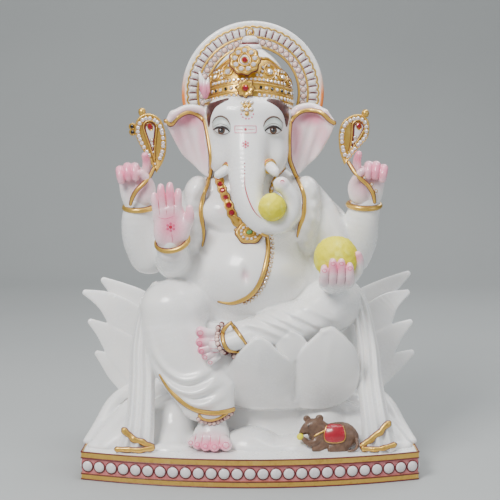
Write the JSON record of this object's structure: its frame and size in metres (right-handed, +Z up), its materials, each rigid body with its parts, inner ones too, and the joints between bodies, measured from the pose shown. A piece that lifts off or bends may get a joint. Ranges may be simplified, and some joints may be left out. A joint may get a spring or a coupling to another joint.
{
  "type": "ganesha idol",
  "caption": "Seated four-armed elephant-headed marble deity on a lotus seat and beaded plinth, with crown, halo, gold relief and set stones, for a home shrine.",
  "frame": {"origin": "middle of the plinth underside, at the mount", "axes": "+Z up; the figure faces -Y; +X is the viewer's right when facing it"},
  "size_m": [0.4868, 0.3, 0.611],
  "materials": {
    "white_marble": "polished white marble",
    "gold_leaf": "gold leaf over raised relief, maroon outlines",
    "rose_paint": "dusty rose paint on marble",
    "painted_bead": "white bosses outlined in maroon",
    "pink_paint": "soft pink paint on marble",
    "set_stones": "red, dark, green and clear faceted stones",
    "clear_stones": "clear faceted stones in gold settings",
    "yellow_paint": "yellow paint on marble",
    "brown_paint": "brown paint on marble"
  },
  "bodies": {
    "root": {"plinth": "white_marble", "plinth_top_band": "gold_leaf", "plinth_bottom_band": "gold_leaf", "plinth_frieze": "rose_paint", "plinth_beads": "painted_bead", "seat_pedestal": "white_marble", "lotus_seat": "white_marble", "lotus_front_petals": "white_marble", "lotus_petals_left": "white_marble", "lotus_petals_right": "white_marble", "torso": "white_marble", "planted_leg": "white_marble", "folded_leg": "white_marble", "planted_foot": "white_marble", "crossed_foot": "white_marble", "leg_hem_trim": "gold_leaf", "planted_anklet": "gold_leaf", "crossed_anklet": "gold_leaf", "navel_thread": "gold_leaf", "navel_thread_crystals": "clear_stones", "scarf_fall_left": "white_marble", "scarf_fall_right": "white_marble", "scarf_hem_left": "gold_leaf", "scarf_hem_right": "gold_leaf", "shoulder_trim_left": "gold_leaf", "shoulder_trim_right": "gold_leaf", "head_and_trunk": "white_marble", "tusk_left": "white_marble", "tusk_right": "white_marble", "tusk_collars": "gold_leaf", "ear_left": "white_marble", "ear_right": "white_marble", "ear_trim_left": "gold_leaf", "ear_trim_right": "gold_leaf", "rear_arm_left": "white_marble", "rear_arm_right": "white_marble", "rear_hand_left": "white_marble", "rear_hand_right": "white_marble", "front_arm_left": "white_marble", "front_arm_right": "white_marble", "front_hand_left": "white_marble", "front_hand_right": "white_marble", "bangles": "gold_leaf", "crown": "white_marble", "crown_gold_relief": "gold_leaf", "crown_stones": "set_stones", "crown_finial": "gold_leaf", "flower_bud": "pink_paint", "forehead_pendant": "clear_stones", "halo_ring": "white_marble", "halo_gold_rims": "gold_leaf", "halo_flutes": "painted_bead", "halo_pearls": "pink_paint", "emblem_left": "gold_leaf", "emblem_right": "gold_leaf", "emblem_stones": "set_stones", "sweets": "yellow_paint", "necklace": "gold_leaf", "necklace_stones": "set_stones", "mouse": "brown_paint"}
  },
  "joints": []
}
